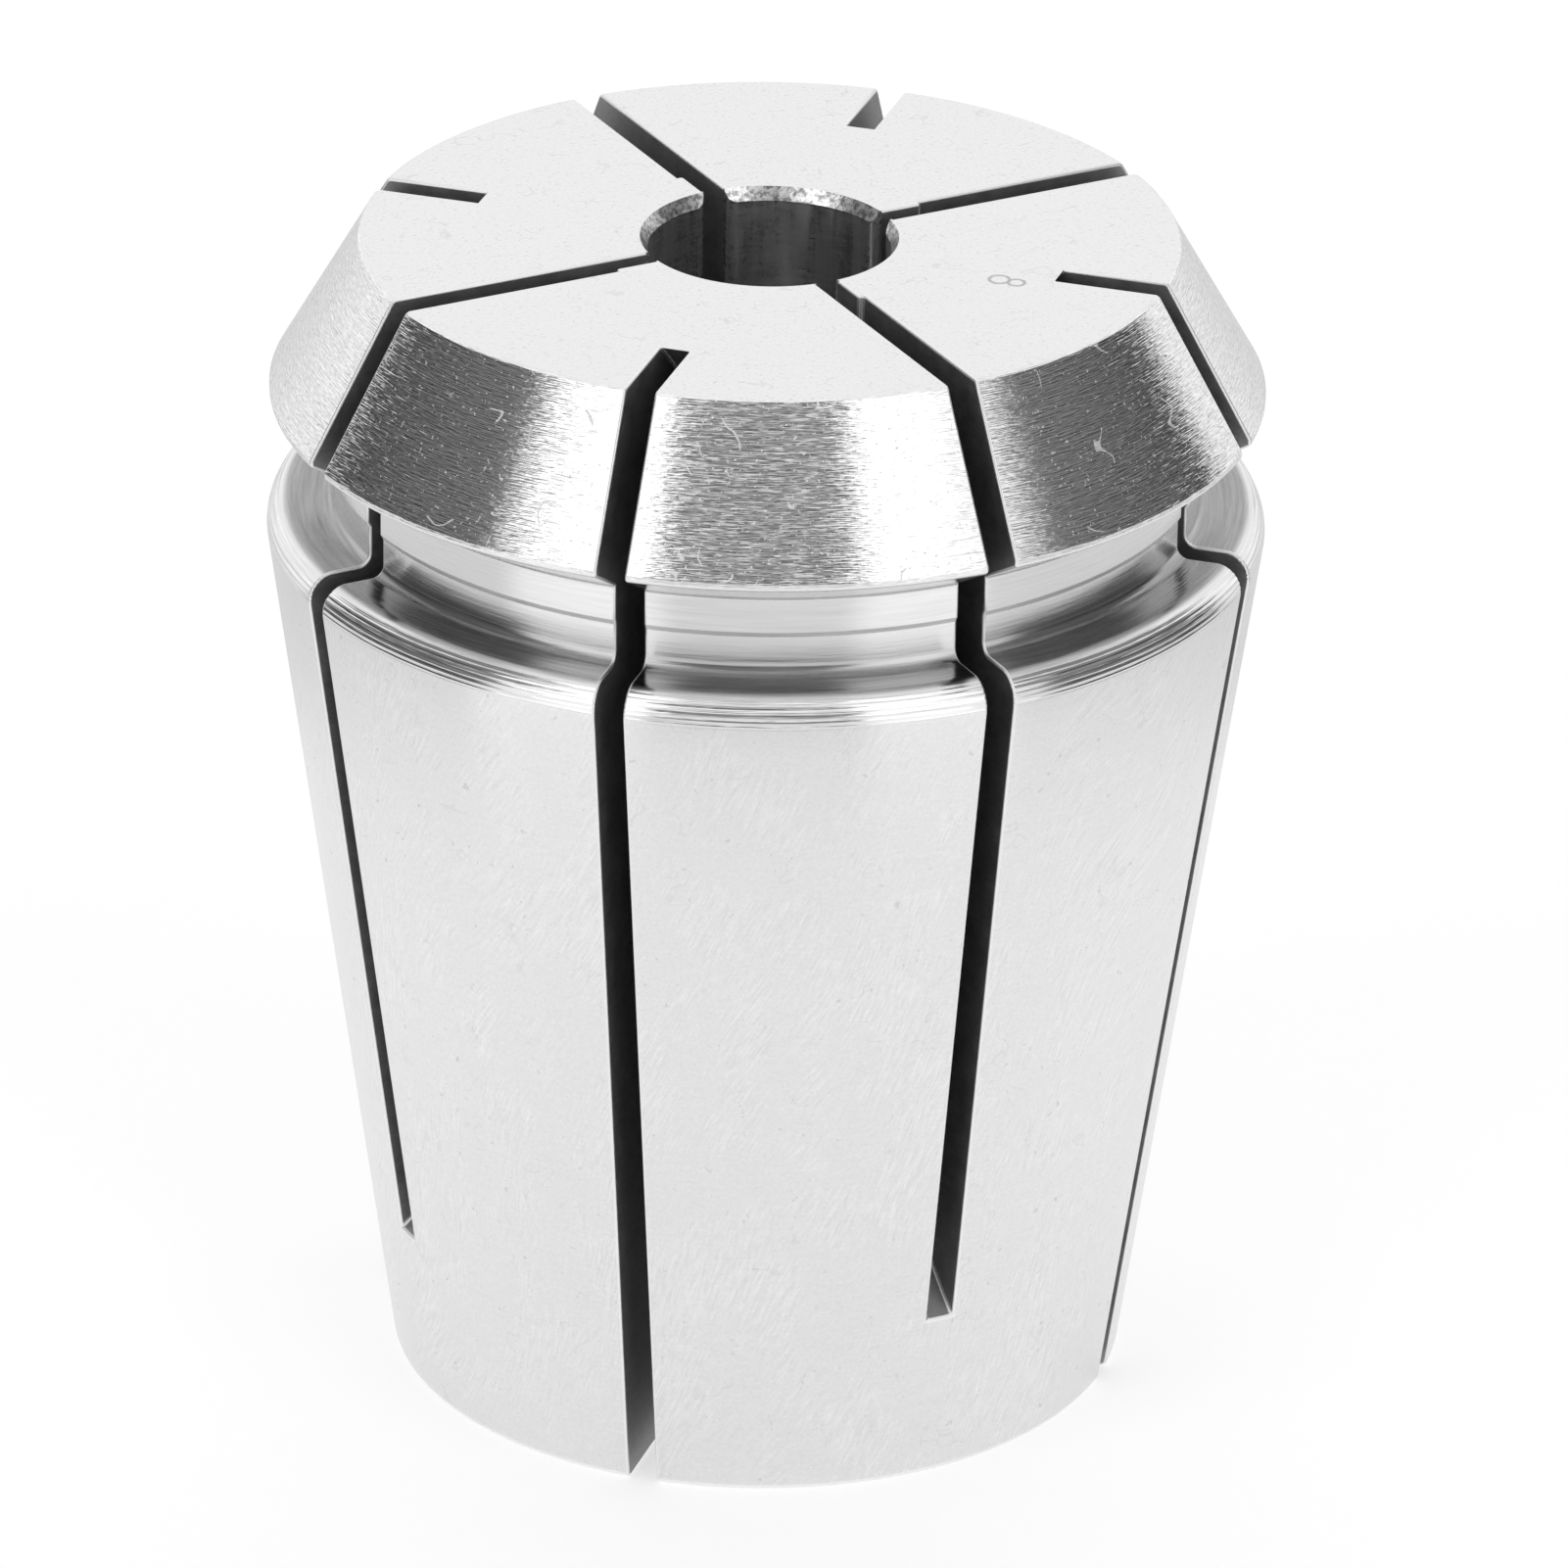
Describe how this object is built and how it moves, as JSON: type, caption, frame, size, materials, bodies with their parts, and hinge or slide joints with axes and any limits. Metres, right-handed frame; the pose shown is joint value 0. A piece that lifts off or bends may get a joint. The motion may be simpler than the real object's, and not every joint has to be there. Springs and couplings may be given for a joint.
{
  "type": "er collet",
  "caption": "Slotted steel spring collet with a long taper, a nut groove, a steep front cone, and a round bore that ends in a square drive socket for a tap.",
  "frame": {"origin": "on the collet's axis, in the plane of its rear face", "axes": "+Z along the axis from the rear face to the front face; +X, +Y, -X and -Y each run through a front slot"},
  "size_m": [0.033, 0.033, 0.04],
  "materials": {
    "steel": "bare spring steel, turned and finely ground"
  },
  "bodies": {
    "root": {"collet": "steel"}
  },
  "joints": []
}
